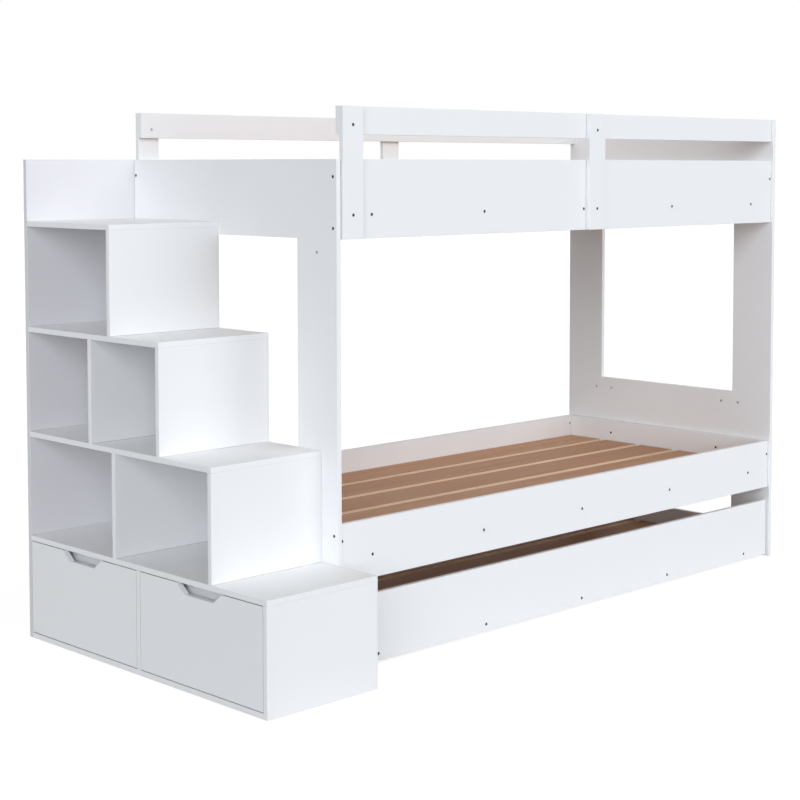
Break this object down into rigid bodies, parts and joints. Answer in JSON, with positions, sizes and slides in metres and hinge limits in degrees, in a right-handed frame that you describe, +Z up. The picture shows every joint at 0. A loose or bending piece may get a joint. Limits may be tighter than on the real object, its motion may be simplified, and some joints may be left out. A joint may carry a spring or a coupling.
{
  "type": "bunk bed",
  "caption": "White panel bunk bed with guard rails, a trundle bed on casters and storage stairs with open shelves and drawers.",
  "frame": {"origin": "middle of the whole footprint, bed and stairs, on the floor", "axes": "+X along the bed from the stairs to the far end, +Y from the open front to the rear, +Z up"},
  "size_m": [2.425, 1.0944, 1.542],
  "materials": {
    "white_board": "white melamine board, satin",
    "white_hardboard": "thin white hardboard",
    "slat_wood": "brown stained slat wood, matt",
    "dowel_wood": "plain beech",
    "screw_steel": "dark zinc",
    "zinc_steel": "zinc plated",
    "glide_plastic": "moulded",
    "wheel_plastic": "moulded nylon"
  },
  "bodies": {
    "bed": {"left_front_leg": "white_board", "left_rear_leg": "white_board", "left_upper_board": "white_board", "left_lower_board": "white_board", "right_front_leg": "white_board", "right_rear_leg": "white_board", "right_upper_board": "white_board", "right_lower_board": "white_board", "front_guard_board": "white_board", "front_guard_rail": "white_board", "front_guard_end_post": "white_board", "front_guard_middle_post": "white_board", "rear_guard_board": "white_board", "rear_guard_rail": "white_board", "rear_guard_end_post": "white_board", "rear_guard_middle_post": "white_board", "lower_front_rail": "white_board", "lower_rear_rail": "white_board", "cross_boards": "white_board", "stair_bottom_board": "white_board", "stair_rear_panel": "white_board", "tread_1": "white_board", "tread_2": "white_board", "tread_3": "white_board", "tread_4": "white_board", "riser_1": "white_board", "riser_2": "white_board", "riser_3": "white_board", "riser_4": "white_board", "dividers": "white_board", "stair_backing_sheets": "white_hardboard", "deck_battens": "slat_wood", "lower_slats": "slat_wood", "upper_slats": "slat_wood", "frame_screws": "screw_steel", "frame_connectors": "zinc_steel", "stair_screws": "screw_steel", "floor_glides": "glide_plastic", "runner_rails": "zinc_steel"},
    "front_drawer": {"front_drawer_face": "white_board", "front_drawer_sides": "white_board", "front_drawer_bottom": "white_hardboard", "front_drawer_slides": "zinc_steel", "front_drawer_dowels": "dowel_wood"},
    "rear_drawer": {"rear_drawer_face": "white_board", "rear_drawer_sides": "white_board", "rear_drawer_bottom": "white_hardboard", "rear_drawer_slides": "zinc_steel", "rear_drawer_dowels": "dowel_wood"},
    "trundle": {"trundle_front_board": "white_board", "trundle_rear_board": "white_board", "trundle_end_boards": "white_board", "trundle_battens": "slat_wood", "trundle_slats": "slat_wood", "trundle_fasteners": "screw_steel", "caster_brackets": "zinc_steel", "caster_axles": "zinc_steel"},
    "front_wheels": {"front_wheels": "wheel_plastic"},
    "rear_wheels": {"rear_wheels": "wheel_plastic"}
  },
  "joints": [
    {"name": "front_drawer_slide", "type": "slide", "parent": "bed", "child": "front_drawer", "axis": [-1, 0, 0], "range_m": [0, 0.25]},
    {"name": "rear_drawer_slide", "type": "slide", "parent": "bed", "child": "rear_drawer", "axis": [-1, 0, 0], "range_m": [0, 0.25]},
    {"name": "trundle_slide", "type": "slide", "parent": "bed", "child": "trundle", "axis": [0, -1, 0], "range_m": [0, 0.9]},
    {"name": "front_wheels_spin", "type": "hinge", "parent": "trundle", "child": "front_wheels", "pos_m": [0.1875, -0.34275, 0.018], "axis": [1, 0, 0], "continuous": true},
    {"name": "rear_wheels_spin", "type": "hinge", "parent": "trundle", "child": "rear_wheels", "pos_m": [0.1875, 0.47725, 0.018], "axis": [1, 0, 0], "continuous": true}
  ],
  "couplings": [
    {"joint": "front_wheels_spin", "follows": "trundle_slide", "rad_per_m": 55.556},
    {"joint": "rear_wheels_spin", "follows": "trundle_slide", "rad_per_m": 55.556}
  ]
}
